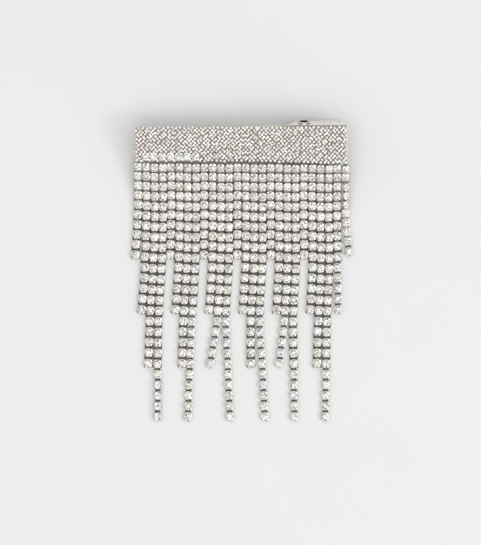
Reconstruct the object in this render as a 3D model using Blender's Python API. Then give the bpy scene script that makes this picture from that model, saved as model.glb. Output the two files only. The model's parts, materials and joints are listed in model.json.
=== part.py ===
"""Rhinestone hair clip with a fringe of cup-chain strands, lying on its back.

X runs along the header, the strands run towards -Y and the stones face +Z. Z = 0 is the surface
that the clip lies on. The header pieces and the clip are modelled in the header's own frame (along
it, across it, out of its face), which an empty then rolls and pitches into place. Each strand starts
on the hinge line below the header's lower edge, sags to the surface and runs on along it. The clip
behind the header is an upper arm with folded sides and a bowed lower arm, which turns on a hollow
rivet between them against a torsion spring.
"""

import math

import bmesh
import bpy
from mathutils import Matrix, Vector

MM = 0.001

# Where the header stands. The origin is on the back of its plate, midway along it.
HEADER_PLACE = Vector((-0.23, 42.75, 9.33)) * MM
HEADER_ROLL = math.radians(18)  # the fringe's weight pulls the lower edge down
HEADER_PITCH = math.radians(2.6)  # the clip is thicker at its tail end

# Header
HEADER_LENGTH = 70.0 * MM
PLATE_WIDTH = 10.8 * MM
PLATE_ACROSS = -0.4 * MM  # its middle, so that the stones hide its top edge
PLATE_THICK = 0.8 * MM
MESH_WIDTH = 12.0 * MM
MESH_LENGTH = 69.8 * MM
MESH_THICK = 1.6 * MM
GAP = 0.3 * MM  # glue line, and the clearance between pieces that touch
EDGE_ROUND = 0.2 * MM
SMOOTH_ANGLE = 35  # degrees; sharper edges than this stay sharp

# Hinge line of the strands, on the bar along the header's lower edge
BAR_ACROSS = -6.35 * MM
BAR_OUT = 0.1 * MM
BAR_RADIUS = 0.25 * MM
BAR_SIDES = 8
BAR_SMOOTH_ANGLE = 50  # degrees, wider than the angle between two of its sides

# Strands
STRAND_SPACING = 2.765 * MM
# Cups, how far each has closed up near the header, slack in the first link, and the cups after
# which the free end sways
LENGTHS = {
    "short": (10, 0.22 * MM, 0.2 * MM, 5),
    "medium": (15, 0.14 * MM, 0.2 * MM, 10),
    "long": (20, 0.12 * MM, 0.4 * MM, 15),
    "extra_long": (25, 0.10 * MM, 0.4 * MM, 15),
    "short_tangled": (10, 0.40 * MM, 0.6 * MM, 5),
}
CUP_PITCH = 3.52 * MM
CUP_LENGTH = 2.6 * MM
CUP_WIDTH = 2.45 * MM
CUP_HEIGHT = 1.7 * MM
LINK_WIDTH = 0.9 * MM
LINK_HEIGHT = 0.6 * MM
LINK_START = 0.6 * MM  # from the hinge line to the near end of the first link
FIRST_CUP = 2.2 * MM  # from the hinge line to the middle of the first cup
CLOSED_CUPS = 8
SAG = 38.0 * MM  # catenary constant of the sagging stretch
DRIFT_STEP = 5  # cups between two of the sideways drifts below

# Sideways lean in mm of the first and the last strand after 5, 10 and 15 cups or more; those
# between lean in proportion to their place
LEAN_STEPS = ((0.0, 0.0), (-0.5, 0.3), (-1.7, -0.5))
# How far along the header's line the free end of a strand swings from that lean, in mm
SWAYS = {
    1: -0.5, 3: -0.5, 4: -0.5, 7: -0.5, 8: -1.5, 11: -2.5, 12: 1.5,
    16: 2.0, 19: -2.0, 20: 0.5, 23: -0.5, 24: -0.5, 25: 1.0, 26: 1.0,
}
LENGTH_ORDER = ("short", "medium", "long", "extra_long") * 6 + ("medium", "short_tangled")
STRAND_COUNT = len(LENGTH_ORDER)
SLACK_GROWTH = 0.9 * MM  # the first links hang slacker by this much at the header's right end

# Clip, in the header's frame. Its middle sits a little towards the header's top edge.
CLIP_ACROSS = 0.9 * MM
CLIP_TIP = -31.5 * MM
CLIP_TAIL = 34.9 * MM
SHEET = 0.8 * MM
TIP_HALF_WIDTH = 2.3 * MM
UPPER_HALF_WIDTH = 4.5 * MM
UPPER_WALL = 0.7 * MM
LOWER_WALL = 0.6 * MM
# Half widths of the lower arm: narrow prong, wide at its ears, thumb lever with a rounded end
LOWER_HALF_WIDTH = 3.5 * MM
LOWER_WIDTHS = (
    (-31.5 * MM, 1.1 * MM),
    (-30.5 * MM, 1.5 * MM),
    (9.0 * MM, 1.5 * MM),
    (16.0 * MM, LOWER_HALF_WIDTH),
    (24.5 * MM, LOWER_HALF_WIDTH),
    (28.0 * MM, 2.6 * MM),
    (33.4 * MM, 2.6 * MM),
    (34.3 * MM, 1.8 * MM),
)
PIVOT_ALONG = 20.7 * MM
PIVOT_OUT = -3.8 * MM
EAR_RADIUS = 2.4 * MM
EAR_CUT = (math.radians(205), math.radians(110))  # start and sweep of the upper ear's round edge
EAR_ARC = (math.radians(-20), math.radians(220))  # and of the lower ear's
EAR_FEET = (-3.6 * MM, 0.0, 3.1 * MM)  # where the lower ear meets its strip, from the pivot
WALL_START = 14.0 * MM
WALL_TAIL_DEPTH = 5.6 * MM
WALL_TAIL_CORNER = 5.0 * MM
SIDE_HOLE_ALONG = 32.3 * MM
SIDE_HOLE_OUT = -4.6 * MM
SIDE_HOLE_RADIUS = 0.4 * MM
UPPER_UNDERSIDE = -GAP - SHEET

JAW_HEEL_OUT = -6.8 * MM  # inner face of the lower arm below the pivot
JAW_BOW = 4.2 * MM
BOW_FULLNESS = 1.4  # a higher power draws the bow in towards its middle
TAIL_END_OUT = -10.25 * MM
PRONG_END = LOWER_WIDTHS[2][0]
LOWER_TAIL = LOWER_WIDTHS[-1][0]
PRONG_STATIONS = 12

PIN_BORE = 1.4 * MM
PIN_RADIUS = 1.7 * MM
PIN_HEAD_RADIUS = 2.1 * MM
PIN_HEAD_THICK = 0.3 * MM
PIN_HEAD_GAP = 0.1 * MM
EAR_HOLE = 1.85 * MM
ROUND_SIDES = 32
EAR_SIDES = 15
TIP_SIDES = 9
SIDE_HOLE_SIDES = 12

SPRING_RADIUS = 2.25 * MM
SPRING_WIRE = 0.35 * MM
SPRING_HALF_WIDTH = 2.2 * MM
SPRING_TURNS = 3
SPRING_LEG = 11.0 * MM
SPRING_STEPS = 20  # points in one turn
WIRE_RESOLUTION = 1


# Materials and objects


def material(name, colour, roughness, metallic):
    made = bpy.data.materials.new(name)
    made.use_nodes = True
    shader = made.node_tree.nodes["Principled BSDF"]
    shader.inputs["Base Color"].default_value = (*colour, 1.0)
    shader.inputs["Roughness"].default_value = roughness
    shader.inputs["Metallic"].default_value = metallic
    return made


def add_object(name, shape, look=None, parent=None):
    """Turns a bmesh into an object of the scene."""
    mesh = bpy.data.meshes.new(name)
    bmesh.ops.recalc_face_normals(shape, faces=shape.faces)
    shape.to_mesh(mesh)
    shape.free()
    made = bpy.data.objects.new(name, mesh)
    bpy.context.scene.collection.objects.link(made)
    made.parent = parent
    if look:
        mesh.materials.append(look)
    return made


def hide_helper(helper):
    helper.hide_render = True
    helper.display_type = "WIRE"


def combine(target, helper, operation):
    """Joins or cuts a helper with a Boolean and hides it."""
    cut = target.modifiers.new(helper.name, "BOOLEAN")
    cut.operation = operation
    cut.object = helper
    hide_helper(helper)


def shade_round(target, angle=SMOOTH_ANGLE):
    target.data.shade_smooth()
    target.data.set_sharp_from_angle(angle=math.radians(angle))


def move_origin(target, origin):
    """Puts the object's origin at this point of its parent's frame, leaving its shape where it is."""
    target.data.transform(Matrix.Translation(-Vector(origin)))
    target.location = origin


# Shapes


def block(low, high):
    """A box between two corners."""
    low, high = Vector(low), Vector(high)
    shape = bmesh.new()
    bmesh.ops.create_cube(shape, size=1.0)
    place = Matrix.Translation((low + high) / 2) @ Matrix.Diagonal((*(high - low), 1.0))
    bmesh.ops.transform(shape, matrix=place, verts=shape.verts)
    return shape


def extruded(outline, direction):
    """A closed outline pushed along a direction."""
    shape = bmesh.new()
    face = shape.faces.new([shape.verts.new(point) for point in outline])
    pushed = bmesh.ops.extrude_face_region(shape, geom=[face])
    verts = [item for item in pushed["geom"] if isinstance(item, bmesh.types.BMVert)]
    bmesh.ops.translate(shape, vec=Vector(direction), verts=verts)
    return shape


def lofted(rings):
    """A closed body through rings that have the same number of corners."""
    shape = bmesh.new()
    loops = [[shape.verts.new(point) for point in ring] for ring in rings]
    sides = len(loops[0])
    for near, far in zip(loops, loops[1:]):
        for i in range(sides):
            j = (i + 1) % sides
            shape.faces.new((near[i], near[j], far[j], far[i]))
    shape.faces.new(loops[0])
    shape.faces.new(reversed(loops[-1]))
    return shape


def circle(centre_along, centre_out, radius, sides, start=0.0, sweep=2 * math.pi):
    """(along, out) points on a circle, or on an arc of it with both its ends."""
    closed = abs(sweep) > 2 * math.pi - 1e-6
    steps = sides if closed else sides - 1
    return [
        (
            centre_along + radius * math.cos(start + sweep * i / steps),
            centre_out + radius * math.sin(start + sweep * i / steps),
        )
        for i in range(sides)
    ]


def across_cylinder(along, out, radius, half_width, sides=ROUND_SIDES):
    """A cylinder that lies across the clip."""
    outline = [
        (a, CLIP_ACROSS - half_width, o) for a, o in circle(along, out, radius, sides)
    ]
    return extruded(outline, (0, 2 * half_width, 0))


def tube_along(points, radius, name, look, parent):
    """A wire through the points, as a curve with a round bevel and closed ends."""
    curve = bpy.data.curves.new(name, "CURVE")
    curve.dimensions = "3D"
    curve.bevel_depth = radius
    curve.bevel_resolution = WIRE_RESOLUTION
    curve.use_fill_caps = True
    spline = curve.splines.new("POLY")
    spline.points.add(len(points) - 1)
    for point, place in zip(spline.points, points):
        point.co = (*place, 1.0)
    curve.materials.append(look)
    made = bpy.data.objects.new(name, curve)
    bpy.context.scene.collection.objects.link(made)
    made.parent = parent
    return made


# Header


def header_matrix():
    """From the header's frame (along, across, out) to the world."""
    turn = Matrix.Rotation(-HEADER_PITCH, 4, "Y") @ Matrix.Rotation(HEADER_ROLL, 4, "X")
    return Matrix.Translation(HEADER_PLACE) @ turn


def header_frame():
    frame = bpy.data.objects.new("header_frame", None)
    bpy.context.scene.collection.objects.link(frame)
    frame.matrix_world = header_matrix()
    return frame


def rounded(target, width):
    bevel = target.modifiers.new("edges", "BEVEL")
    bevel.width = width
    bevel.segments = 2
    bevel.limit_method = "ANGLE"
    shade_round(target)


def build_header(frame, looks):
    half_length = HEADER_LENGTH / 2
    half_width = PLATE_WIDTH / 2
    plate = block(
        (-half_length, PLATE_ACROSS - half_width, 0),
        (half_length, PLATE_ACROSS + half_width, PLATE_THICK),
    )
    rounded(add_object("header_plate", plate, looks["steel"], frame), EDGE_ROUND)

    half_length = MESH_LENGTH / 2
    half_width = MESH_WIDTH / 2
    base = PLATE_THICK + GAP
    sheet = block((-half_length, -half_width, base), (half_length, half_width, base + MESH_THICK))
    rounded(add_object("rhinestone_mesh", sheet, looks["stones"], frame), 2 * EDGE_ROUND)

    outline = [
        (-half_length, BAR_ACROSS + a, BAR_OUT + o) for a, o in circle(0, 0, BAR_RADIUS, BAR_SIDES)
    ]
    bar = extruded(outline, (MESH_LENGTH, 0, 0))
    shade_round(add_object("strand_bar", bar, looks["steel"], frame), BAR_SMOOTH_ANGLE)


# Clip


def upper_arm_wall(across):
    """The folded side of the upper arm: a round ear at the pivot that runs on to the tail."""
    top = -GAP - SHEET / 2
    ear = circle(PIVOT_ALONG, PIVOT_OUT, EAR_RADIUS, EAR_SIDES, *EAR_CUT)
    outline = [(WALL_START, top), (WALL_START, UPPER_UNDERSIDE - GAP), *ear]
    outline += [(CLIP_TAIL - WALL_TAIL_CORNER, -WALL_TAIL_DEPTH - SHEET), (CLIP_TAIL, -WALL_TAIL_DEPTH)]
    outline += [(CLIP_TAIL, top)]
    return extruded([(a, across, o) for a, o in outline], (0, UPPER_WALL, 0))


def build_upper_arm(frame, looks):
    """Tapered strip glued to the back of the header, with a folded wall on both sides of its tail."""
    nose = circle(CLIP_TIP + TIP_HALF_WIDTH, 0, TIP_HALF_WIDTH, TIP_SIDES, math.pi / 2, math.pi)
    outline = [(a, CLIP_ACROSS + o, -GAP) for a, o in nose]
    outline += [
        (a, CLIP_ACROSS + side * UPPER_HALF_WIDTH, -GAP)
        for side, ends in ((-1, (WALL_START, CLIP_TAIL)), (1, (CLIP_TAIL, WALL_START)))
        for a in ends
    ]
    arm = add_object("clip_upper_arm", extruded(outline, (0, 0, -SHEET)), looks["steel"], frame)
    inner = UPPER_HALF_WIDTH - UPPER_WALL
    for name, across in (("wall_low", CLIP_ACROSS - UPPER_HALF_WIDTH), ("wall_high", CLIP_ACROSS + inner)):
        combine(arm, add_object(name, upper_arm_wall(across), None, frame), "UNION")
    reach = 2 * UPPER_HALF_WIDTH
    hole = across_cylinder(PIVOT_ALONG, PIVOT_OUT, EAR_HOLE, reach)
    combine(arm, add_object("upper_pivot_hole", hole, None, frame), "DIFFERENCE")
    side_hole = across_cylinder(
        SIDE_HOLE_ALONG, SIDE_HOLE_OUT, SIDE_HOLE_RADIUS, reach, SIDE_HOLE_SIDES
    )
    combine(arm, add_object("upper_side_hole", side_hole, None, frame), "DIFFERENCE")
    shade_round(arm)


def lower_inner_face(along):
    """Height of the lower arm's inner face: a bowed prong, then a straight thumb lever."""
    if along > PIVOT_ALONG:
        lever = (along - PIVOT_ALONG) / (LOWER_TAIL - PIVOT_ALONG)
        return JAW_HEEL_OUT + (TAIL_END_OUT - JAW_HEEL_OUT) * lever
    t = (along - CLIP_TIP) / (PIVOT_ALONG - CLIP_TIP)
    tip_out = UPPER_UNDERSIDE - GAP
    ease = t * t * (3 - 2 * t)  # leaves the tip and reaches the heel level
    return tip_out + (JAW_HEEL_OUT - tip_out) * ease - JAW_BOW * math.sin(math.pi * t) ** BOW_FULLNESS


def lower_half_width(along):
    for (near, first), (far, last) in zip(LOWER_WIDTHS, LOWER_WIDTHS[1:]):
        if along <= far:
            return first + (last - first) * (along - near) / (far - near)
    return LOWER_WIDTHS[-1][1]


def lower_arm_rings():
    """Cross-sections of the lower arm's strip, tip to tail."""
    stations = {along for along, _ in LOWER_WIDTHS} | {PIVOT_ALONG}
    stations |= {
        CLIP_TIP + (PRONG_END - CLIP_TIP) * i / PRONG_STATIONS for i in range(1, PRONG_STATIONS)
    }
    inner = [Vector((along, lower_inner_face(along))) for along in sorted(stations)]
    rings = []
    for i, point in enumerate(inner):
        before, after = inner[max(i - 1, 0)], inner[min(i + 1, len(inner) - 1)]
        direction = (after - before).normalized()
        far = point + Vector((direction.y, -direction.x)) * SHEET
        half = lower_half_width(point.x)
        rings.append(
            [
                (point.x, CLIP_ACROSS - half, point.y),
                (point.x, CLIP_ACROSS + half, point.y),
                (far.x, CLIP_ACROSS + half, far.y),
                (far.x, CLIP_ACROSS - half, far.y),
            ]
        )
    return rings


def lower_arm_ear(across):
    """One ear of the lower arm, from its strip up round the pivot."""
    arc = circle(PIVOT_ALONG, PIVOT_OUT, EAR_RADIUS, EAR_SIDES, *EAR_ARC)
    feet = [PIVOT_ALONG + foot for foot in EAR_FEET]
    base = [(along, lower_inner_face(along) - SHEET / 2) for along in feet]
    return extruded([(a, across, o) for a, o in [*arc, *base]], (0, LOWER_WALL, 0))


def build_lower_arm(frame, looks):
    """Bowed jaw and thumb lever in one strip, turning on the pivot by two inner ears."""
    arm = add_object("clip_lower_arm", lofted(lower_arm_rings()), looks["steel"], frame)
    inner = LOWER_HALF_WIDTH - LOWER_WALL
    for name, across in (("ear_low", CLIP_ACROSS - LOWER_HALF_WIDTH), ("ear_high", CLIP_ACROSS + inner)):
        combine(arm, add_object(name, lower_arm_ear(across), None, frame), "UNION")
    hole = across_cylinder(PIVOT_ALONG, PIVOT_OUT, EAR_HOLE, 2 * LOWER_HALF_WIDTH)
    combine(arm, add_object("lower_pivot_hole", hole, None, frame), "DIFFERENCE")
    move_origin(arm, (PIVOT_ALONG, CLIP_ACROSS, PIVOT_OUT))
    shade_round(arm)


def build_pin(frame, looks):
    """Hollow rivet through all four ears, with a rolled head at each end."""
    head_in = UPPER_HALF_WIDTH + PIN_HEAD_GAP
    head_out = head_in + PIN_HEAD_THICK
    profile = (
        (-head_out, PIN_BORE),
        (-head_out, PIN_HEAD_RADIUS),
        (-head_in, PIN_HEAD_RADIUS),
        (-head_in, PIN_RADIUS),
        (head_in, PIN_RADIUS),
        (head_in, PIN_HEAD_RADIUS),
        (head_out, PIN_HEAD_RADIUS),
        (head_out, PIN_BORE),
    )
    shape = bmesh.new()
    rings = []
    for across, radius in profile:
        ring = circle(PIVOT_ALONG, PIVOT_OUT, radius, ROUND_SIDES)
        rings.append([shape.verts.new((a, CLIP_ACROSS + across, o)) for a, o in ring])
    for near, far in zip(rings, rings[1:] + rings[:1]):
        for i in range(ROUND_SIDES):
            j = (i + 1) % ROUND_SIDES
            shape.faces.new((near[i], near[j], far[j], far[i]))
    shade_round(add_object("pivot_pin", shape, looks["steel"], frame))


def build_spring(frame, looks):
    """Coil round the pin. One leg presses the header's arm, the other the thumb lever."""
    lever = math.atan2(TAIL_END_OUT - JAW_HEEL_OUT, LOWER_TAIL - PIVOT_ALONG)
    first, last = math.pi / 2, 2 * math.pi * SPRING_TURNS + 1.5 * math.pi + lever
    steps = round(SPRING_STEPS * (last - first) / (2 * math.pi))
    coil = []
    for i in range(steps + 1):
        turn = first + (last - first) * i / steps
        across = CLIP_ACROSS - SPRING_HALF_WIDTH + 2 * SPRING_HALF_WIDTH * i / steps
        coil.append(
            Vector(
                (
                    PIVOT_ALONG + SPRING_RADIUS * math.cos(turn),
                    across,
                    PIVOT_OUT + SPRING_RADIUS * math.sin(turn),
                )
            )
        )
    upper_end = coil[0] + Vector((SPRING_LEG, 0, 0))
    lower_end = coil[-1] + Vector((math.cos(lever), 0, math.sin(lever))) * SPRING_LEG
    points = [upper_end, *coil, lower_end]
    tube_along(points, SPRING_WIRE, "torsion_spring", looks["spring"], frame)


# Strands


def strand_slack(number, own):
    """Slack in the first link of this strand; it grows along the header."""
    return own + SLACK_GROWTH * (number - 1) / (STRAND_COUNT - 1)


def drift_knots(number, cups, sways_after):
    """Sideways drift in mm of a strand after each DRIFT_STEP cups: the common lean and its own sway."""
    share = (number - 1) / (STRAND_COUNT - 1)
    knots = []
    for step in range(cups // DRIFT_STEP):
        first, last = LEAN_STEPS[min(step, len(LEAN_STEPS) - 1)]
        swung = max(0, (step + 1) * DRIFT_STEP - sways_after) / (cups - sways_after)
        knots.append(first + (last - first) * share + SWAYS.get(number, 0.0) * swung)
    return knots


def drift(knots, cups):
    """Sideways drift in metres after this many cups, on a smooth curve through the knots."""
    values = [0.0, 0.0, *knots, 2 * knots[-1] - knots[-2]]
    place = min(max(cups / DRIFT_STEP, 0.0), len(knots) - 1e-6)
    i = int(place)
    t = place - i
    a, b, c, d = values[i : i + 4]
    curve = 2 * b + (c - a) * t + (2 * a - 5 * b + 4 * c - d) * t**2 + (3 * b - a - 3 * c + d) * t**3
    return 0.5 * curve * MM


def cup_middles(cups, closing, slack):
    """Distance of each cup's middle from the hinge line, along the strand."""
    middles = [FIRST_CUP + slack]
    for i in range(1, cups):
        middles.append(middles[-1] + CUP_PITCH - (closing if i <= CLOSED_CUPS else 0.0))
    return middles


def strand_point(start, distance):
    """(y, z, fall) of the strand's middle line: a catenary that lands on the surface, then level."""
    drop = start.z - CUP_HEIGHT / 2
    landing = math.sqrt((drop + SAG) ** 2 - SAG**2)
    reach = SAG * math.asinh(landing / SAG)
    left = landing - distance
    if left <= 0:
        return start.y - reach + left, CUP_HEIGHT / 2, 0.0
    level = SAG * math.asinh(left / SAG)
    height = math.sqrt(SAG**2 + left**2) - SAG
    return start.y - reach + level, CUP_HEIGHT / 2 + height, math.atan(left / SAG)


def strand_ring(start, distance, sideways, is_cup):
    """Rectangular section across the strand: a cup's, or the flat link's along its back."""
    y, z, fall = strand_point(start, distance)
    up = Vector((0, -math.sin(fall), math.cos(fall)))
    middle = Vector((start.x + sideways, y, z))
    half = Vector(((CUP_WIDTH if is_cup else LINK_WIDTH) / 2, 0, 0))
    low = middle - up * CUP_HEIGHT / 2
    high = low + up * (CUP_HEIGHT if is_cup else LINK_HEIGHT)
    return [low - half, low + half, high + half, high - half]


def strand_rings(number, start, length):
    cups, closing, own_slack, sways_after = LENGTHS[length]
    knots = drift_knots(number, cups, sways_after)
    rings = [strand_ring(start, LINK_START, 0.0, False)]
    middles = cup_middles(cups, closing, strand_slack(number, own_slack))
    for i, middle in enumerate(middles):
        for end in (-CUP_LENGTH / 2, CUP_LENGTH / 2):
            sideways = drift(knots, i + 0.5 + end / CUP_PITCH)
            rings.append(strand_ring(start, middle + end, sideways, True))
        if i + 1 < cups:
            between = (middle + middles[i + 1]) / 2
            rings.append(strand_ring(start, between, drift(knots, i + 1), False))
    return rings


def build_strands(looks):
    header = header_matrix()
    middle = (STRAND_COUNT + 1) / 2
    for number, length in enumerate(LENGTH_ORDER, start=1):
        along = (number - middle) * STRAND_SPACING
        start = header @ Vector((along, BAR_ACROSS, BAR_OUT))
        shape = lofted(strand_rings(number, start, length))
        strand = add_object(f"strand_{number:02d}", shape, looks["strand"])
        move_origin(strand, start)


def main():
    for leftover in list(bpy.data.objects):
        bpy.data.objects.remove(leftover, do_unlink=True)
    looks = {
        "steel": material("polished_steel", (0.80, 0.79, 0.77), 0.18, 1.0),
        "spring": material("spring_wire", (0.62, 0.61, 0.60), 0.30, 1.0),
        "stones": material("stone_mesh", (0.86, 0.83, 0.82), 0.12, 0.3),
        "strand": material("cup_chain", (0.84, 0.83, 0.82), 0.10, 0.4),
    }
    frame = header_frame()
    build_header(frame, looks)
    build_upper_arm(frame, looks)
    build_lower_arm(frame, looks)
    build_pin(frame, looks)
    build_spring(frame, looks)
    build_strands(looks)


main()
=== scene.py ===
"""Looks of the rhinestone hair clip: set stones, cups, metal, spring, floor, light and camera.

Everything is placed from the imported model: the header's own frame (along, across, out) and the
start of each strand come from its joints. Sizes repeat the design's driving dimensions.
"""

import json
import math
import random

import bpy
from mathutils import Matrix, Vector


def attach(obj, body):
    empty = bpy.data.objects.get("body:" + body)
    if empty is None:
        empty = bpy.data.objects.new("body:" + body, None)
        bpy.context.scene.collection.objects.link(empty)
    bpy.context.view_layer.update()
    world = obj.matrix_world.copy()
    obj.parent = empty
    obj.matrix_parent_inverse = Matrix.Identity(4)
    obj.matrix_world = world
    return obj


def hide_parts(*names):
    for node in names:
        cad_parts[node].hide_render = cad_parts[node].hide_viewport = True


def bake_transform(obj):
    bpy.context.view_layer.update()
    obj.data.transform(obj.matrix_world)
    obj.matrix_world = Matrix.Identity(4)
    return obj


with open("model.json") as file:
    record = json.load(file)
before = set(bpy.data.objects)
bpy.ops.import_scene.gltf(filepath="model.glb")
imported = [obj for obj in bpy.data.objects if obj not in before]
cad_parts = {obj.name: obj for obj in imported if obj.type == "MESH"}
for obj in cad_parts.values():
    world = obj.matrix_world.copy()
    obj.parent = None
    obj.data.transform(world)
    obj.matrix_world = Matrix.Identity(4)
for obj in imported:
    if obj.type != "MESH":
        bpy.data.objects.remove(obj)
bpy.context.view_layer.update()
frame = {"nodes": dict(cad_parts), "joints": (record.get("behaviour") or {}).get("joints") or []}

MM = 0.001
JOINTS = {joint["name"]: joint for joint in frame["joints"]}
STRAND_COUNT = sum(name.startswith("strand_") for name in JOINTS)
DRAW = random.Random(7)

# Design dimensions that the looks share with the solids
PIVOT_ALONG, CLIP_ACROSS, PIVOT_OUT = 20.7 * MM, 0.9 * MM, -3.8 * MM
STRAND_SPACING = 2.765 * MM
CUP_PITCH = 3.52 * MM
CUP_HEIGHT = 1.7 * MM
FIRST_CUP = 2.2 * MM
CLOSED_CUPS = 8
SAG = 38.0 * MM
DRIFT_STEP = 5
# Cups, how far each has closed up near the header, slack in the first link, and the cups after
# which the free end sways
LENGTHS = {
    "short": (10, 0.22 * MM, 0.2 * MM, 5),
    "medium": (15, 0.14 * MM, 0.2 * MM, 10),
    "long": (20, 0.12 * MM, 0.4 * MM, 15),
    "extra_long": (25, 0.10 * MM, 0.4 * MM, 15),
    "short_tangled": (10, 0.40 * MM, 0.6 * MM, 5),
}
# Sideways lean in mm of the first and the last strand after 5, 10 and 15 cups or more; those
# between lean in proportion to their place
LEAN_STEPS = ((0.0, 0.0), (-0.5, 0.3), (-1.7, -0.5))
# How far along the header's line the free end of a strand swings from that lean, in mm
SWAYS = {
    1: -0.5, 3: -0.5, 4: -0.5, 7: -0.5, 8: -1.5, 11: -2.5, 12: 1.5,
    16: 2.0, 19: -2.0, 20: 0.5, 23: -0.5, 24: -0.5, 25: 1.0, 26: 1.0,
}
LENGTH_ORDER = ("short", "medium", "long", "extra_long") * 6 + ("medium", "short_tangled")
SLACK_GROWTH = 0.9 * MM  # the first links hang slacker by this much at the header's right end
# Strand number: (first cup, last cup, roll in degrees) of a stretch that is turned on its link
TURNED = {4: (22, 25, 32), 26: (3, 5, 38)}

# Stones. A face's glint is how brightly it throws light back, from 0 to 1.
STONE_RADIUS = 1.3 * MM
STONE_CROWN = 0.48 * MM
STONE_SIDES = 8
FACES_ON_A_SIDE = 7
TABLE, BELT = 0.56, 0.78  # radii of the table and of the ring below it, as shares of the stone's
INNER_TABLE = 0.48  # radius of the ring where light crosses in the table, as a share of the table's
GIRDLE_DEPTH, CULET_DEPTH = 0.1, 0.62  # below the girdle's upper edge, as shares of the radius
BRIGHT_CHANCE, DULL_CHANCE = 0.55, 0.25  # the other facets are dark
BRIGHT_GLINT, DULL_GLINT, DARK_GLINT = (0.8, 1.0), (0.45, 0.8), (0.0, 0.35)
SECTOR_SHARE = 0.35  # of a facet's glint that it has in common with its sector of the stone
BACK_GLINT = 0.7  # of the girdle and the back
GIRDLE_HEIGHT = 1.28 * MM  # above the back of the cup

# Cups and links. A face's shade is how deep its painted shade is, from 0 to 1: dark colour painted
# on walls, links and feet where shadow falls between the cups.
CUP_HALF = (1.375 * MM, 1.455 * MM)  # across and along the strand
UPPER_HALF_WIDTH, LOWER_HALF_WIDTH = 1.31 * MM, 1.22 * MM  # at its upper and lower corners
UPPER_CORNER, LOWER_CORNER = 0.88 * MM, 0.9 * MM
WALL_TOP = 1.26 * MM
PRONG_RISE = 0.24 * MM
CUP_WALL = 0.14 * MM
LINK_HALF_WIDTH = 0.9 * MM
# The cups that hang side by side with others have wider links and a wide foot, dark with painted
# shade: they fill the slots between neighbouring cups with a painted shadow
DENSE_CUPS = 20
WIDE_SWAY = 0.9  # mm; a free end that swings further than this hangs by itself
DENSE_LINK_HALF_WIDTH = 1.36 * MM
FOOT_HALF_WIDTH = 1.365 * MM
FOOT_SPAN = (-1.34 * MM, -0.25 * MM)  # along the strand, from the cup's middle
FOOT_MIDDLE = 0.35 * MM  # above the cup's back
FOOT_THICK = 0.5 * MM
LINK_THICK = 0.24 * MM
LINK_LIFT = 0.46 * MM
LINK_RISES = (0.0, 0.75, 1.0, 0.75, 0.0)  # from cup to cup, as shares of its bow
LINK_BOW = 0.1 * MM
LOOP_RADIUS = 0.42 * MM
LOOP_HALF_WIDTH = 0.4 * MM
LOOP_HALF_THICK = 0.07 * MM
LOOP_ARC = (math.radians(-50), math.radians(230))
LOOP_STEPS = 14
# Painted shade of the loop round the bar and of its tab, for the shadow under the header
LOOP_SHADE, TAB_SHADE = 0.6, 0.9
CUP_SMOOTH = 40  # degrees; edges sharper than this stay sharp
PRONG_LIFTS = (0.0, 0.45, 1.0, 0.45, 0.0)  # round a corner, as shares of the prong's height
# Painted shade: walls darkest at a cup's lower end, where the next cup shades it, lighter at the
# sides and the upper end; the cup's floor and the rim at its lower end are painted dark as shadow
# too
SIDE_SHADE, UPPER_SHADE, LOWER_SHADE = 0.9, 0.7, 1.0  # of the walls at a cup's sides and ends
BACK_SHADE = 0.2
SEAT_SHADE = 0.5  # of the floor of the cup, under its stone
RIM_SHADE = 0.5  # of the rim between the prongs at a cup's lower end
LOWER_END = -0.1  # a wall belongs to the lower end if its outward Y is below this
TURNED_SHADE = 0.3  # share of the painted shade on cups that are turned on their link
NEAR_SHADE = 0.86  # and on the first cup of a strand; from FULL_SHADE_FROM on it is whole
FULL_SHADE_FROM = 5  # cups
TILT = math.radians(2.6)  # spread of each cup's own small tilt

# Header mesh
MESH_LENGTH = 69.8 * MM
MESH_WIDTH = 12.0 * MM
MESH_BACK = 1.1 * MM
BASE_THICK = 0.5 * MM
MESH_ACROSS = -0.3 * MM  # the middle of its stones
MESH_ROWS = 16
MESH_ROW_STEP = 0.7375 * MM
MESH_SPACING = STRAND_SPACING / 2  # of the stones in a row
# The band's lower edge drops towards its right end; near that end its dark base also shows past its
# upper edge, as a painted shadow line
FLARE_FROM = 5.0 * MM
MESH_FLARE = 1.0 * MM
RIM_FROM = 21.0 * MM
BASE_RIM = 0.3 * MM
BASE_BEVEL = 0.12 * MM
SMALL_RADIUS = 0.47 * MM
SMALL_CROWN = 0.2 * MM
SMALL_SIDES = 6
SEAT_RING_SHADE = 0.1
ROUND_SMOOTH = 50  # degrees, as CUP_SMOOTH, for the small seats and the spring
SMALL_TILT = math.radians(10)
SMALL_SLIP = 0.11 * MM  # spread of each small stone from its place in the grid
SMALL_GIRDLE = 2.3 * MM  # above the plate's back
EDGE_STONES = range(2, 9)  # strands that have a large stone above them on the header's lower edge
EDGE_STONE_ACROSS = -4.62 * MM

# Torsion spring
SPRING_RADIUS = 2.25 * MM
SPRING_WIRE = 0.35 * MM
SPRING_HALF_WIDTH = 2.2 * MM
SPRING_TURNS = 3
SPRING_LEG = 11.0 * MM
SPRING_STEPS = 140
WIRE_SIDES = 10
SPRING_SHADE, SPRING_WEAR = 0.3, 0.5
LEVER_LEAN = math.radians(-14.23)

# Light thrown back by a facet, from the dullest to the brightest, and the clouds in a stone
GLOW = ((0.0, 0.2), (0.3, 0.5), (0.6, 0.76), (1.0, 0.92))
CLOUDS = ((0.35, (0.82, 0.79, 0.79)), (0.6, (1.0, 1.0, 1.0)))
SPLINTER_SCALE = 2800.0
SPARK = (0.9, 0.885, 0.86, 1.0)

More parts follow.
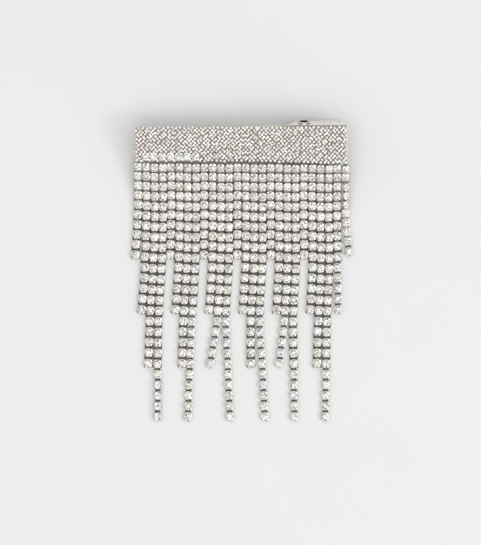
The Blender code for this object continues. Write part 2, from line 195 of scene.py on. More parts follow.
# Studio. A light is its place, size, power and colour.
FLOOR_REACH = 3.0
WORLD_COLOUR, WORLD_STRENGTH = (1.0, 0.985, 0.945, 1.0), 0.65
KEY_LIGHT = ((0.2, -0.25, 1.9), 2.6, 33.3, (0.96, 0.97, 0.985))
SIDE_LIGHT = ((1.5, -0.6, 1.4), 0.7, 8.5, (1.0, 0.985, 0.96))
CAMERA_HEIGHT = 1.2
VIEW_HEIGHT = 0.182
VIEW_CENTRE = (-0.00051, -0.0007)
SENSOR = 36.0


# Frame


def header_matrix():
    """From the header's frame, whose origin is the middle of the plate's back, to the world."""
    jaw = JOINTS["jaw_hinge"]
    along = -Vector(JOINTS["strand_01_hinge"]["axis"]).normalized()
    across = -Vector(jaw["axis"]).normalized()
    turn = Matrix((along, across, along.cross(across))).transposed().to_4x4()
    pivot = Vector((PIVOT_ALONG, CLIP_ACROSS, PIVOT_OUT))
    return Matrix.Translation(Vector(jaw["pos_m"]) - turn @ pivot) @ turn


HEADER = header_matrix()


def strand_slack(number, own):
    """Slack in the first link of this strand; it grows along the header."""
    return own + SLACK_GROWTH * (number - 1) / (STRAND_COUNT - 1)


def drift_knots(number, cups, sways_after):
    """Sideways drift in mm after each DRIFT_STEP cups: the common lean and the strand's own sway."""
    share = (number - 1) / (STRAND_COUNT - 1)
    knots = []
    for step in range(cups // DRIFT_STEP):
        first, last = LEAN_STEPS[min(step, len(LEAN_STEPS) - 1)]
        swung = max(0, (step + 1) * DRIFT_STEP - sways_after) / (cups - sways_after)
        knots.append(first + (last - first) * share + SWAYS.get(number, 0.0) * swung)
    return knots


def drift(knots, cups):
    """Sideways drift in metres after this many cups, on a smooth curve through the knots."""
    values = [0.0, 0.0, *knots, 2 * knots[-1] - knots[-2]]
    place = min(max(cups / DRIFT_STEP, 0.0), len(knots) - 1e-6)
    i = int(place)
    t = place - i
    a, b, c, d = values[i : i + 4]
    curve = 2 * b + (c - a) * t
    curve += (2 * a - 5 * b + 4 * c - d) * t**2 + (3 * b - a - 3 * c + d) * t**3
    return 0.5 * curve * MM


def cup_middles(cups, closing, slack):
    """Distance of each cup's middle from the hinge line, along the strand."""
    middles = [FIRST_CUP + slack]
    for i in range(1, cups):
        middles.append(middles[-1] + CUP_PITCH - (closing if i <= CLOSED_CUPS else 0.0))
    return middles


def strand_point(start, distance):
    """(y, z, fall) of the strand's middle line: a catenary that lands on the surface, then level."""
    drop = start.z - CUP_HEIGHT / 2
    landing = math.sqrt((drop + SAG) ** 2 - SAG**2)
    reach = SAG * math.asinh(landing / SAG)
    left = landing - distance
    if left <= 0:
        return start.y - reach + left, CUP_HEIGHT / 2, 0.0
    level = SAG * math.asinh(left / SAG)
    height = math.sqrt(SAG**2 + left**2) - SAG
    return start.y - reach + level, CUP_HEIGHT / 2 + height, math.atan(left / SAG)


def route_frame(start, knots, distance, cups):
    """Frame on the back of the strand: X across it, -Y down it, Z out of its stones."""
    y, z, fall = strand_point(start, distance)
    step = 0.5
    slope = (drift(knots, cups + step) - drift(knots, cups - step)) / CUP_PITCH
    turn = Matrix.Rotation(fall, 4, "X") @ Matrix.Rotation(slope, 4, "Z")
    middle = Vector((start.x + drift(knots, cups), y, z))
    return Matrix.Translation(middle) @ turn @ Matrix.Translation((0, 0, -CUP_HEIGHT / 2))


# Gathering shapes


# Names of a face's two values, on metal and on stones
METAL_VALUES = ("shade", "wear")
STONE_VALUES = ("facet", "tint")


class Shape:
    """Points and faces, with two values on each face. The materials read shade, facet and tint."""

    def __init__(self):
        self.points, self.faces, self.first, self.second = [], [], [], []

    def add(self, points, faces, place, first, second=0.0):
        base = len(self.points)
        self.points += [place @ point for point in points]
        self.faces += [tuple(base + i for i in face) for face in faces]
        self.first += first if isinstance(first, list) else [first] * len(faces)
        self.second += [second] * len(faces)


def make(name, shape, names, look, smooth=None):
    """Turns a gathered shape into a mesh object. names are those of its two face values."""
    mesh = bpy.data.meshes.new(name)
    mesh.from_pydata(shape.points, [], shape.faces)
    for attribute, values in zip(names, (shape.first, shape.second)):
        layer = mesh.attributes.new(attribute, "FLOAT", "FACE")
        layer.data.foreach_set("value", values)
    if smooth is not None:
        mesh.shade_smooth()
        mesh.set_sharp_from_angle(angle=math.radians(smooth))
    mesh.materials.append(look)
    made = bpy.data.objects.new(name, mesh)
    bpy.context.scene.collection.objects.link(made)
    return made


def ring(count, radius, height, turn=0.0):
    """Points on a level circle. turn is in steps of the ring."""
    angles = [2 * math.pi * (i + turn) / count for i in range(count)]
    return [Vector((radius * math.cos(a), radius * math.sin(a), height)) for a in angles]


def bridge(near, far):
    """Quads between two loops of point numbers."""
    count = len(near)
    return [(near[i], near[(i + 1) % count], far[(i + 1) % count], far[i]) for i in range(count)]


# Stones


def stone_shape(radius, crown, sides=STONE_SIDES):
    """Round brilliant with its girdle at height 0. The table is split where light crosses in it.

    Returns its points and faces. The faces of the crown come first, then the girdle and the back.
    """
    belt_height = crown * (1 - BELT * math.cos(math.pi / sides)) / (1 - TABLE)
    loops = [
        [Vector((0, 0, crown))],
        ring(sides, INNER_TABLE * TABLE * radius, crown, 0.5),
        ring(sides, TABLE * radius, crown),
        ring(sides, BELT * radius, belt_height, 0.5),
        ring(2 * sides, radius, 0.0),
        ring(2 * sides, radius, -GIRDLE_DEPTH * radius),
        [Vector((0, 0, -CULET_DEPTH * radius))],
    ]
    points, numbers = [], []
    for loop in loops:
        numbers.append(range(len(points), len(points) + len(loop)))
        points += loop
    centre, inner, top, star, girdle, low, culet = numbers
    faces = []
    for j in range(sides):
        k = (j + 1) % sides
        faces.append((centre[0], inner[j - 1], inner[j]))
        faces.append((inner[j - 1], top[j], inner[j]))
        faces.append((inner[j], top[j], top[k]))
        faces.append((top[j], star[j], top[k]))
        faces.append((top[j], star[j - 1], girdle[2 * j], star[j]))
        faces.append((star[j], girdle[2 * j], girdle[2 * j + 1]))
        faces.append((star[j], girdle[2 * j + 1], girdle[(2 * j + 2) % (2 * sides)]))
    faces += [(a, d, c, b) for a, b, c, d in bridge(girdle, low)]
    faces += [(low[i], culet[0], low[(i + 1) % (2 * sides)]) for i in range(2 * sides)]
    return points, faces


def glint():
    """How brightly a facet throws light back: most are bright, a few are dark."""
    pick = DRAW.random()
    if pick < BRIGHT_CHANCE:
        return DRAW.uniform(*BRIGHT_GLINT)
    if pick < BRIGHT_CHANCE + DULL_CHANCE:
        return DRAW.uniform(*DULL_GLINT)
    return DRAW.uniform(*DARK_GLINT)


def facet_values(sides, count):
    """A glint for each face: its own, and a share that its sector of the stone has in common."""
    values = []
    for _ in range(sides):
        sector = glint()
        own = [glint() for _ in range(FACES_ON_A_SIDE)]
        values += [SECTOR_SHARE * sector + (1 - SECTOR_SHARE) * value for value in own]
    return values + [BACK_GLINT] * (count - len(values))


# Cups


def cup_outline():
    """(point, outward, lean, lift) round the cup. lift is 1 at a prong's middle, lean its way in.

    The cup is widest at its middle, and narrower at its lower end than at its upper one, which is
    towards the header.
    """
    outline = []
    half_y = CUP_HALF[1]
    ends = ((UPPER_HALF_WIDTH, UPPER_CORNER), (LOWER_HALF_WIDTH, LOWER_CORNER))
    for turn, (sx, sy) in enumerate(((1, 1), (-1, 1), (-1, -1), (1, -1))):
        half_x, corner = ends[sy < 0]
        middle = Vector((sx * (half_x - corner), sy * (half_y - corner), 0))
        inward = Vector((-sx, -sy, 0)).normalized()
        for i, lift in enumerate(PRONG_LIFTS):
            angle = math.pi / 2 * (turn + i / (len(PRONG_LIFTS) - 1))
            outward = Vector((math.cos(angle), math.sin(angle), 0))
            outline.append((middle + corner * outward, outward, inward, lift))
        side = Vector((0, sy * half_y, 0)) if turn % 2 == 0 else Vector((sx * CUP_HALF[0], 0, 0))
        outline.append((side, side.normalized(), inward, 0.0))
    return outline


def end_shade(outward):
    """Painted shade of a wall that faces this way: deepest where the next cup hangs on and shades
    it, lightest at the upper end.
    """
    end = LOWER_SHADE if outward.y < 0 else UPPER_SHADE
    return SIDE_SHADE + (end - SIDE_SHADE) * outward.y**2


def cup_shape():
    """Square cup with four prongs bent over the stone: its points, faces and their painted shades.
    """
    outline = cup_outline()
    levels = (
        # (inset, lean of a prong, height, extra height of a prong, painted shade of the faces below
        # it)
        (0.12 * MM, 0.0, 0.0, 0.0, 0.0),
        (0.0, 0.0, 0.12 * MM, 0.0, BACK_SHADE),
        # Painted shade: the lower walls are dark, so the slots between the cups read as shadow
        (0.0, 0.0, 0.76 * MM, 0.0, 1.0),
        (0.0, 0.02 * MM, WALL_TOP, 0.6 * PRONG_RISE, 0.2),
        (0.05 * MM, 0.16 * MM, WALL_TOP + 0.05 * MM, PRONG_RISE, 0.0),
        (0.11 * MM, 0.4 * MM, WALL_TOP + 0.04 * MM, PRONG_RISE + 0.06 * MM, 0.0),
        (CUP_WALL, 0.46 * MM, WALL_TOP, PRONG_RISE - 0.1 * MM, 0.1),
        (CUP_WALL + 0.06 * MM, 0.3 * MM, WALL_TOP - 0.1 * MM, 0.0, 0.4),
    )
    points, faces, shades, loops = [], [], [], []
    for inset, lean, height, rise, _ in levels:
        loops.append(range(len(points), len(points) + len(outline)))
        for place, outward, inward, lift in outline:
            point = place - outward * inset + inward * (lean * lift)
            point.z = height + rise * lift
            points.append(point)
    for near, far, (*_, shade) in zip(loops, loops[1:], levels[1:]):
        faces += bridge(near, far)
        for _, outward, _, lift in outline:
            # Painted shadow: between the prongs at the lower end the rim is dark, a crescent under
            # each stone
            rim = RIM_SHADE * (1 - lift) if outward.y < LOWER_END else 0.0
            shades.append(max(shade * end_shade(outward), rim))
    faces += [tuple(reversed(loops[0])), tuple(loops[-1])]
    shades += [BACK_SHADE, SEAT_SHADE]
    return points, faces, shades


def strip_between(shape, sections, shade):
    """A closed strip through rectangular sections: (centre, half width, half thickness) vectors.

    Its underside has the shade of a cup's back.
    """
    points = []
    for centre, wide, thick in sections:
        points += [centre - wide - thick, centre + wide - thick]
        points += [centre + wide + thick, centre - wide + thick]
    loops = [range(4 * i, 4 * i + 4) for i in range(len(sections))]
    faces = [face for near, far in zip(loops, loops[1:]) for face in bridge(near, far)]
    shades = [shade if i % 4 else BACK_SHADE for i in range(len(faces))]
    faces += [tuple(reversed(loops[0])), tuple(loops[-1])]
    shape.add(points, faces, Matrix.Identity(4), shades + [shade, shade])


def add_shadow_foot(shape, place, shade):
    """Dark flange round the lower half of a cup, which nearly meets those of its neighbours: painted
    shade that closes the shadowed slots between the cups.
    """
    across, up, out = (place.to_3x3().col[axis] for axis in range(3))
    middle = place.translation + out * FOOT_MIDDLE
    wide, thick = across * FOOT_HALF_WIDTH, out * FOOT_THICK / 2
    strip_between(shape, [(middle + up * along, wide, thick) for along in FOOT_SPAN], shade)


def add_link(shape, near, far, half_width, shade):
    """Folded tab between the walls of two cups, dark with painted shade for the shadowed gap between
    them.
    """
    sections = []
    near_turn, far_turn = near.to_3x3(), far.to_3x3()
    for i, rise in enumerate(LINK_RISES):
        t = i / (len(LINK_RISES) - 1)
        across = near_turn.col[0].lerp(far_turn.col[0], t).normalized()
        out = near_turn.col[2].lerp(far_turn.col[2], t).normalized()
        centre = near.translation.lerp(far.translation, t) + out * (LINK_LIFT + LINK_BOW * rise)
        sections.append((centre, across * half_width, out * LINK_THICK / 2))
    strip_between(shape, sections, shade)


def add_loop(shape, start, first):
    """Tab folded round the header's bar, which the strand swings on, and on to the first cup."""
    wide = Vector((LOOP_HALF_WIDTH, 0, 0))
    turn_from, turn_to = LOOP_ARC
    sections = []
    for i in range(LOOP_STEPS + 1):
        angle = turn_from + (turn_to - turn_from) * i / LOOP_STEPS
        away = Vector((0, -math.cos(angle), math.sin(angle)))
        sections.append((start + away * LOOP_RADIUS, wide, away * LOOP_HALF_THICK))
    strip_between(shape, sections, LOOP_SHADE)
    _, up, out = (first.to_3x3().col[axis] for axis in range(3))
    near = start - out * 0.3 * MM - up * 0.2 * MM
    far = first.translation + out * LINK_LIFT + up * (CUP_HALF[1] - 0.05 * MM)
    thick = out * LOOP_HALF_THICK
    strip_between(shape, [(near, wide, thick), (far, wide, thick)], TAB_SHADE)


def cup_places(number, start):
    """Frame of each cup of a strand, with its own small tilt."""
    cups, closing, own_slack, sways_after = LENGTHS[LENGTH_ORDER[number - 1]]
    knots = drift_knots(number, cups, sways_after)
    places = []
    first, last, roll = TURNED.get(number, (0, 0, 0))
    for i, middle in enumerate(cup_middles(cups, closing, strand_slack(number, own_slack))):
        place = route_frame(start, knots, middle, i + 0.5)
        tip, lean, turn = (DRAW.gauss(0, spread) for spread in (TILT / 2, TILT, TILT / 2))
        if first <= i + 1 <= last:
            tip, lean = 0.0, math.radians(roll)
        rise = CUP_HALF[0] * abs(math.sin(lean)) + CUP_HALF[1] * abs(math.sin(tip))
        tilt = Matrix.Rotation(tip, 4, "X") @ Matrix.Rotation(lean, 4, "Y")
        tilt = tilt @ Matrix.Rotation(turn, 4, "Z")
        places.append(place @ Matrix.Translation((0, 0, rise)) @ tilt)
    return places


def painted_shade_share(cups):
    """Share of the painted shade after this many cups. Near the header the painted shade between the
    cups is lighter.
    """
    return NEAR_SHADE + (1 - NEAR_SHADE) * min(1.0, cups / FULL_SHADE_FROM)


def build_strand(number, looks):
    """One strand's cups and links in one piece and its stones in another."""
    start = Vector(JOINTS[f"strand_{number:02d}_hinge"]["pos_m"])
    places = cup_places(number, start)
    turned_from, turned_to, _ = TURNED.get(number, (0, 0, 0))
    dense = DENSE_CUPS
    if abs(SWAYS.get(number, 0.0)) > WIDE_SWAY:
        dense = LENGTHS[LENGTH_ORDER[number - 1]][-1]
    metal, stones = Shape(), Shape()
    cup_points, cup_faces, cup_shades = cup_shape()
    stone_points, stone_faces = stone_shape(STONE_RADIUS, STONE_CROWN)
    seat = Matrix.Translation((0, 0, GIRDLE_HEIGHT))
    down = Matrix.Translation((0, -CUP_HALF[1] + CUP_WALL / 2, 0))
    up = Matrix.Translation((0, CUP_HALF[1] - CUP_WALL / 2, 0))
    add_loop(metal, start, places[0])
    for i, place in enumerate(places):
        is_turned = turned_from <= i + 1 <= turned_to
        # share: how much painted shade this cup's walls, link and foot get
        share = TURNED_SHADE if is_turned else painted_shade_share(i)
        shades = [share * shade for shade in cup_shades]
        metal.add(cup_points, cup_faces, place, shades, DRAW.random())
        turned = seat @ Matrix.Rotation(DRAW.uniform(0, math.pi / 4), 4, "Z")
        values = facet_values(STONE_SIDES, len(stone_faces))
        stones.add(stone_points, stone_faces, place @ turned, values, DRAW.random())
        if i + 1 < len(places):
            half_width = DENSE_LINK_HALF_WIDTH if i + 1 < dense else LINK_HALF_WIDTH
            add_link(metal, place @ down, places[i + 1] @ up, half_width, painted_shade_share(i))
        if i < dense and not is_turned:
            add_shadow_foot(metal, place, painted_shade_share(i))
    body = f"strand_{number:02d}"
    chain = make(f"{body}_cups", metal, METAL_VALUES, looks["cup"], CUP_SMOOTH)
    gems = make(f"{body}_stones", stones, STONE_VALUES, looks["stone"])
    for piece, slot in ((chain, "plated_metal"), (gems, "rhinestone")):
        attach(piece, body)
        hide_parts(body)


# Header


def mesh_sites():
    """(along, across) of each small stone: rows half a step apart make a slanted square grid."""
    sites = []
    for row in range(MESH_ROWS):
        across = MESH_ACROSS + (row - (MESH_ROWS - 1) / 2) * MESH_ROW_STEP
        lower = 1 - row / (MESH_ROWS - 1)
        count = 2 * STRAND_COUNT - 1 - row % 2
        for i in range(count):
            along = (i - (count - 1) / 2) * MESH_SPACING
            sites.append((along, across - lower * flare(along)))
    return sites


def flare(along):
    """How far the band's lower edge has dropped here."""
    return MESH_FLARE * max(0.0, along - FLARE_FROM) / (MESH_LENGTH / 2 - FLARE_FROM)


def edge_sites():
    """(along, across) of the large stones on the header's lower edge."""
    middle = (STRAND_COUNT + 1) / 2
    return [((number - middle) * STRAND_SPACING, EDGE_STONE_ACROSS) for number in EDGE_STONES]


def clear_of_edge(along, across):
    reach = STONE_RADIUS + 0.8 * SMALL_RADIUS
    return all(math.hypot(along - a, across - b) > reach for a, b in edge_sites())


def seat_shape():
    """The thin claw ring that holds a small stone."""
    sides = 2 * SMALL_SIDES
    rings = [
        ring(sides, SMALL_RADIUS * 0.80, MESH_BACK + 0.2 * MM),
        ring(sides, SMALL_RADIUS * 0.96, SMALL_GIRDLE - 0.28 * MM),
        ring(sides, SMALL_RADIUS * 1.05, SMALL_GIRDLE - 0.03 * MM),
        ring(sides, SMALL_RADIUS * 0.98, SMALL_GIRDLE + 0.02 * MM),
        ring(sides, SMALL_RADIUS * 0.90, SMALL_GIRDLE - 0.12 * MM),
    ]
    points = [point for loop in rings for point in loop]
    loops = [range(sides * i, sides * i + sides) for i in range(len(rings))]
    faces = [face for near, far in zip(loops, loops[1:]) for face in bridge(near, far)]
    return points, faces + [tuple(reversed(loops[0])), tuple(loops[-1])]


def build_mesh_band(looks):
    """The glued band: a dark woven base and small set stones on a slanted grid."""
    stones, metal = Shape(), Shape()
    points, faces = stone_shape(SMALL_RADIUS, SMALL_CROWN, SMALL_SIDES)
    seat_points, seat_faces = seat_shape()
    for along, across in mesh_sites():
        if not clear_of_edge(along, across):
            continue
        slip = (DRAW.gauss(0, SMALL_SLIP), DRAW.gauss(0, SMALL_SLIP))
        place = HEADER @ Matrix.Translation((along + slip[0], across + slip[1], 0))
        metal.add(seat_points, seat_faces, place, SEAT_RING_SHADE, DRAW.random())
        tip, roll = DRAW.gauss(0, SMALL_TILT), DRAW.gauss(0, SMALL_TILT)
        tilt = Matrix.Rotation(tip, 4, "X") @ Matrix.Rotation(roll, 4, "Y")
        turned = tilt @ Matrix.Rotation(DRAW.uniform(0, math.pi / 4), 4, "Z")
        seated = place @ Matrix.Translation((0, 0, SMALL_GIRDLE)) @ turned
        stones.add(points, faces, seated, facet_values(SMALL_SIDES, len(faces)), DRAW.random())
    band = make("mesh_stones", stones, STONE_VALUES, looks["small_stone"])
    seats = make("mesh_seats", metal, METAL_VALUES, looks["cup"], ROUND_SMOOTH)
    base = build_band_base(looks)
    for piece, slot in ((band, "rhinestone"), (seats, "plated_metal"), (base, "plated_metal")):
        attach(piece, "header")
        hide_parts("rhinestone_mesh")


def build_band_base(looks):
    """Backing sheet of the band, with a bevelled edge."""
    half_x, half_y = MESH_LENGTH / 2, MESH_WIDTH / 2 - SMALL_RADIUS
    low, high = MESH_BACK, MESH_BACK + BASE_THICK
    base = Shape()
    profile = (
        (BASE_BEVEL, low),
        (0.0, low + BASE_BEVEL),
        (0.0, high - BASE_BEVEL),
        (BASE_BEVEL, high),
    )
    points, loops = [], []
    for inset, height in profile:
        x, y = half_x - inset, half_y - inset
        lower_edge = ((-x, -y), (FLARE_FROM, -y), (x, -y - MESH_FLARE))
        # Painted shadow: from RIM_FROM on, the dark base reaches BASE_RIM past the stones' upper
        # edge, for the shadow line the band casts on the clip
        upper_edge = ((x, y + BASE_RIM), (RIM_FROM, y + BASE_RIM), (FLARE_FROM, y), (-x, y))
        corners = lower_edge + upper_edge
        loops.append(range(len(points), len(points) + len(corners)))
        points += [Vector((along, MESH_ACROSS + across, height)) for along, across in corners]
    faces = [face for near, far in zip(loops, loops[1:]) for face in bridge(near, far)]
    faces += [tuple(reversed(loops[0])), tuple(loops[-1])]
    base.add(points, faces, HEADER, 1.0)
    return make("mesh_base", base, METAL_VALUES, looks["net"])


def build_edge_stones(looks):
    """The large stones that sit in the header's lower edge above some of the strands."""
    stones, metal = Shape(), Shape()
    cup_points, cup_faces, cup_shades = cup_shape()
    stone_points, stone_faces = stone_shape(STONE_RADIUS, STONE_CROWN)
    for along, across in edge_sites():
        place = HEADER @ Matrix.Translation((along, across, MESH_BACK + 0.1 * MM))
        metal.add(cup_points, cup_faces, place, cup_shades, DRAW.random())
        turned = Matrix.Rotation(DRAW.uniform(0, math.pi / 4), 4, "Z")
        seated = place @ Matrix.Translation((0, 0, GIRDLE_HEIGHT)) @ turned
        values = facet_values(STONE_SIDES, len(stone_faces))
        stones.add(stone_points, stone_faces, seated, values, DRAW.random())
    gems = make("edge_stones", stones, STONE_VALUES, looks["stone"])
    cups = make("edge_cups", metal, METAL_VALUES, looks["cup"], CUP_SMOOTH)
    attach(gems, "header")
    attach(cups, "header")


# Spring


def wire_shape(points, radius):
    """A round wire through the points, with closed ends."""
    shape_points, loops = [], []
    side = Vector((0, 1, 0))
    for i, point in enumerate(points):
        before, after = points[max(i - 1, 0)], points[min(i + 1, len(points) - 1)]
        forward = (after - before).normalized()
        side = (side - forward * side.dot(forward)).normalized()
        other = forward.cross(side)
        loops.append(range(len(shape_points), len(shape_points) + WIRE_SIDES))
        for k in range(WIRE_SIDES):
            angle = 2 * math.pi * k / WIRE_SIDES
            away = math.cos(angle) * side + math.sin(angle) * other
            shape_points.append(point + radius * away)
    faces = [face for near, far in zip(loops, loops[1:]) for face in bridge(near, far)]
    faces += [tuple(reversed(loops[0])), tuple(loops[-1])]
    return shape_points, faces


def build_spring(looks):
    """Coil round the rivet, as it sits at rest. The real coil twists along its axis when the jaw
    opens; this one stays as it is.
    """
    first, last = math.pi / 2, 2 * math.pi * SPRING_TURNS + 1.5 * math.pi + LEVER_LEAN
    coil = []
    for i in range(SPRING_STEPS + 1):
        turn = first + (last - first) * i / SPRING_STEPS
        across = CLIP_ACROSS - SPRING_HALF_WIDTH + 2 * SPRING_HALF_WIDTH * i / SPRING_STEPS
        along = PIVOT_ALONG + SPRING_RADIUS * math.cos(turn)
        coil.append(Vector((along, across, PIVOT_OUT + SPRING_RADIUS * math.sin(turn))))
    upper_end = coil[0] + Vector((SPRING_LEG, 0, 0))
    lower_end = coil[-1] + Vector((math.cos(LEVER_LEAN), 0, math.sin(LEVER_LEAN))) * SPRING_LEG
    spring = Shape()
    points, faces = wire_shape([upper_end, *coil, lower_end], SPRING_WIRE)
    spring.add(points, faces, HEADER, SPRING_SHADE, SPRING_WEAR)
    made = make("torsion_spring_wire", spring, METAL_VALUES, looks["spring"], ROUND_SMOOTH)
    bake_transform(made)
    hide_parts("torsion_spring")


# Materials


class Nodes:
    """Short calls for building a material's node tree."""

    def __init__(self, name):
        self.material = bpy.data.materials.new(name)
        self.material.use_nodes = True
        self.tree = self.material.node_tree
        self.shader = self.tree.nodes["Principled BSDF"]

    def add(self, kind, inputs=None, **settings):
        node = self.tree.nodes.new(kind)
        for key, value in settings.items():
            setattr(node, key, value)
        for key, value in (inputs or {}).items():
            self.put(node.inputs[key], value)
        return node

    def put(self, socket, value):
        if isinstance(value, bpy.types.NodeSocket):
            self.tree.links.new(value, socket)
        else:
            socket.default_value = value

    def surface(self, **inputs):
        for key, value in inputs.items():
            self.put(self.shader.inputs[key.replace("_", " ")], value)

    def face_value(self, name):
        return self.add("ShaderNodeAttribute", attribute_name=name).outputs["Fac"]

    def place(self):
        return self.add("ShaderNodeTexCoord").outputs["Object"]

    def noise(self, scale, detail=3.0, roughness=0.55):
        values = {"Vector": self.place(), "Scale": scale, "Detail": detail, "Roughness": roughness}
        return self.add("ShaderNodeTexNoise", values).outputs["Fac"]

    def ramp(self, value, stops):
        node = self.add("ShaderNodeValToRGB", {"Fac": value})
        ramp = node.color_ramp
        while len(ramp.elements) < len(stops):
            ramp.elements.new(0.5)
        for element, (place, colour) in zip(ramp.elements, stops):
            element.position = place
            element.color = (*colour, 1.0)
        return node.outputs["Color"]

    def mix(self, share, first, second, blend="MIX"):
        node = self.add("ShaderNodeMix", data_type="RGBA", blend_type=blend)
        self.put(node.inputs[0], share)
        self.put(node.inputs[6], first)
        self.put(node.inputs[7], second)
        return node.outputs[2]

    def remap(self, value, low, high):
        inputs = {"Value": value, "To Min": low, "To Max": high}
        return self.add("ShaderNodeMapRange", inputs).outputs["Result"]

    def maths(self, operation, first, second):
        node = self.add("ShaderNodeMath", operation=operation)
        self.put(node.inputs[0], first)
        self.put(node.inputs[1], second)
        return node.outputs[0]

    def bump(self, height, strength, distance):
        inputs = {"Height": height, "Strength": strength, "Distance": distance}
        return self.add("ShaderNodeBump", inputs).outputs["Normal"]


def grey(level):
    return (level, level, level)


def stone_material(name, pink, splinters, bright):
    """Foiled crystal: each facet throws back its own share of light, broken up inside the stone.

    splinters is how dark the darkest of those inner reflections are, and bright scales the glow.
    """
    nodes = Nodes(name)
    glow = nodes.ramp(
        nodes.face_value("facet"),
        [(stop, grey(min(1.0, level * bright))) for stop, level in GLOW],
    )
    cells = nodes.add("ShaderNodeTexVoronoi", {"Vector": nodes.place(), "Scale": SPLINTER_SCALE})
    dark, middle = 1.0 - splinters, 1.0 - 0.45 * splinters
    chances = nodes.add("ShaderNodeSeparateColor", {"Color": cells.outputs["Color"]})
    inner = nodes.ramp(
        chances.outputs["Red"],
        ((0.0, grey(dark)), (0.22, grey(dark)), (0.4, grey(middle)), (0.62, grey(1.0))),
    )
    sparks = nodes.ramp(chances.outputs["Green"], ((0.72, grey(0.0)), (0.86, grey(0.75))))
    tint = nodes.ramp(
        nodes.face_value("tint"),
        (
            (0.0, (1.0, 0.97, 0.95)),
            (0.35, (1.0, 0.985, 0.94)),
            (0.6, (1.0, 0.98 - 0.5 * pink, 0.95 - 0.4 * pink)),
            (0.8, (1.0, 0.97, 0.88)),
            (1.0, (0.94, 0.965, 0.985)),
        ),
    )
    dull = nodes.mix(1.0, nodes.mix(1.0, glow, tint, "MULTIPLY"), inner, "MULTIPLY")
    clouded = nodes.mix(1.0, dull, nodes.ramp(nodes.noise(420.0), CLOUDS), "MULTIPLY")
    colour = nodes.mix(sparks, clouded, SPARK)
    rough = nodes.remap(nodes.noise(900.0), 0.12, 0.3)
    nodes.surface(Base_Color=colour, Metallic=0.1, Roughness=rough, IOR=1.55)
    return nodes.material


def metal_material(name, colour, dark, rough):
    """Plated metal, dark where shade says so (painted shade on the cups, links and feet; an even
    duller tone on the spring and seats), with fine wear and a soft sheen elsewhere.
    """
    nodes = Nodes(name)
    wear = nodes.noise(700.0, 5.0, 0.6)
    clean = nodes.ramp(wear, ((0.3, tuple(0.86 * c for c in colour)), (0.65, colour)))
    # The shade mixes in the dark colour, takes away the metal and adds roughness: on the cups, links
    # and feet it is painted shade
    shade = nodes.maths("MULTIPLY", nodes.face_value("shade"), nodes.remap(wear, 0.8, 1.05))
    sheen = nodes.remap(nodes.noise(1500.0, 2.0), rough, rough + 0.16)
    nodes.surface(
        Base_Color=nodes.mix(shade, clean, (*dark, 1.0)),
        Metallic=nodes.remap(shade, 1.0, 0.0),
        Roughness=nodes.maths("ADD", sheen, nodes.maths("MULTIPLY", shade, 0.45)),
        Normal=nodes.bump(nodes.noise(2500.0, 2.0), 0.15, 0.00004),
    )
    return nodes.material


def sheet_material(name, colour, rough):
    """Pressed and plated sheet: fine lengthwise brushing, specks and darker worn patches."""
    nodes = Nodes(name)
    place = nodes.place()
    stretched = nodes.add("ShaderNodeMapping", {"Vector": place, "Scale": (160.0, 2600.0, 2600.0)})
    inputs = {"Vector": stretched.outputs["Vector"], "Scale": 1.0, "Detail": 4.0}
    brushed = nodes.add("ShaderNodeTexNoise", inputs).outputs["Fac"]
    patches = nodes.noise(260.0, 4.0)
    tone = nodes.ramp(patches, ((0.3, tuple(0.82 * c for c in colour)), (0.62, colour)))
    streaks = nodes.ramp(brushed, ((0.2, grey(0.7)), (0.8, grey(1.0))))
    nodes.surface(
        Base_Color=nodes.mix(0.35, tone, streaks, "MULTIPLY"),
        Metallic=1.0,
        Roughness=nodes.remap(brushed, rough, rough + 0.14),
        Normal=nodes.bump(brushed, 0.12, 0.00003),
    )
    return nodes.material


def net_material():
    """Dark woven base that shows between the small stones."""
    nodes = Nodes("band_net")
    weave = nodes.add("ShaderNodeTexChecker", {"Vector": nodes.place(), "Scale": 3600.0})
    threads = ((0.0, (0.27, 0.235, 0.215)), (1.0, (0.42, 0.38, 0.355)))
    rough = nodes.remap(nodes.noise(1200.0), 0.5, 0.8)
    nodes.surface(
        Base_Color=nodes.ramp(weave.outputs["Fac"], threads), Roughness=rough, Metallic=0.2
    )
    return nodes.material


def floor_material():
    """Plain pale table."""
    nodes = Nodes("pale_floor")
    tones = ((0.3, (0.641, 0.646, 0.655)), (0.7, (0.652, 0.656, 0.665)))
    nodes.surface(Base_Color=nodes.ramp(nodes.noise(14.0, 3.0), tones), Roughness=0.9)
    return nodes.material


def finish_sheet_nodes(looks):
    """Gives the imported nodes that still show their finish."""
    finishes = {
        "header_plate": "sheet",
        "strand_bar": "bar",
        "clip_upper_arm": "sheet",
        "clip_lower_arm": "sheet",
        "pivot_pin": "rivet",
    }
    for name, finish in finishes.items():
        materials = frame["nodes"][name].data.materials
        materials.clear()
        materials.append(looks[finish])


# Floor, light and camera


def area_light(name, place, size, power, colour):
    """Square light that faces the origin."""
    light = bpy.data.lights.new(name, "AREA")
    light.shape = "SQUARE"
    light.size = size
    light.energy = power
    light.color = colour
    lamp = bpy.data.objects.new(name, light)
    bpy.context.scene.collection.objects.link(lamp)
    lamp.location = place
    lamp.rotation_mode = "QUATERNION"
    lamp.rotation_quaternion = (-lamp.location).to_track_quat("-Z", "Y")


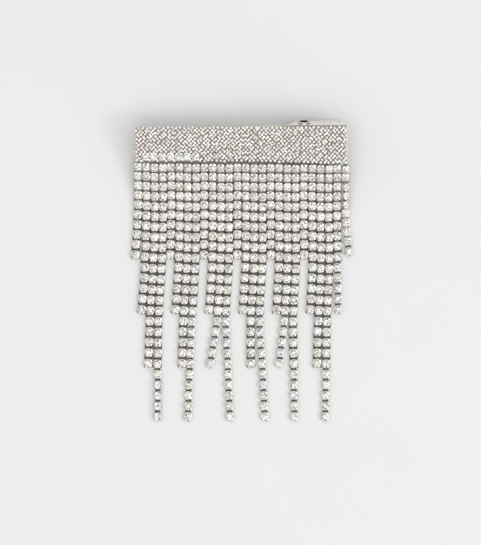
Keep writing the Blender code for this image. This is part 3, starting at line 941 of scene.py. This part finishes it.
def build_studio(looks):
    """Floor, even surroundings and two soft lights."""
    floor_mesh = bpy.data.meshes.new("floor")
    signs = ((-1, -1), (1, -1), (1, 1), (-1, 1))
    corners = [(x * FLOOR_REACH, y * FLOOR_REACH, 0) for x, y in signs]
    floor_mesh.from_pydata(corners, [], [(0, 1, 2, 3)])
    floor = bpy.data.objects.new("floor", floor_mesh)
    bpy.context.scene.collection.objects.link(floor)
    floor.data.materials.append(looks["floor"])

    world = bpy.data.worlds.new("studio")
    world.use_nodes = True
    background = world.node_tree.nodes["Background"]
    background.inputs["Color"].default_value = WORLD_COLOUR
    background.inputs["Strength"].default_value = WORLD_STRENGTH
    bpy.context.scene.world = world
    area_light("key", *KEY_LIGHT)
    area_light("side", *SIDE_LIGHT)


def build_camera():
    """Camera straight above the part."""
    data = bpy.data.cameras.new("camera")
    data.sensor_width = SENSOR
    data.lens = data.sensor_width * CAMERA_HEIGHT / VIEW_HEIGHT
    data.clip_end = 10.0
    camera = bpy.data.objects.new("camera", data)
    bpy.context.scene.collection.objects.link(camera)
    camera.location = (*VIEW_CENTRE, CAMERA_HEIGHT)
    bpy.context.scene.camera = camera


def main():
    looks = {
        "stone": stone_material("foiled_crystal", 0.07, 0.65, 0.94),
        "small_stone": stone_material("small_foiled_crystal", 0.18, 0.42, 1.16),
        # The cup's dark colour is its painted shade, for the shadows between and under the cups
        "cup": metal_material("plated_cup", (0.90, 0.88, 0.84), (0.014, 0.011, 0.006), 0.22),
        "spring": metal_material("spring_wire", (0.60, 0.59, 0.58), (0.2, 0.19, 0.18), 0.25),
        "rivet": sheet_material("rivet_plating", (0.74, 0.73, 0.71), 0.16),
        "sheet": sheet_material("plated_sheet", (0.95, 0.93, 0.87), 0.18),
        # Painted shadow: the bar is near-black so that it reads as the shadow line under the header
        "bar": sheet_material("shadow_dark_bar", (0.10, 0.08, 0.06), 0.4),
        "net": net_material(),
        "floor": floor_material(),
    }
    build_camera()
    build_studio(looks)
    for number in range(1, STRAND_COUNT + 1):
        build_strand(number, looks)
    build_mesh_band(looks)
    build_edge_stones(looks)
    build_spring(looks)
    finish_sheet_nodes(looks)


bpy.context.scene.view_settings.view_transform = "Standard"
main()
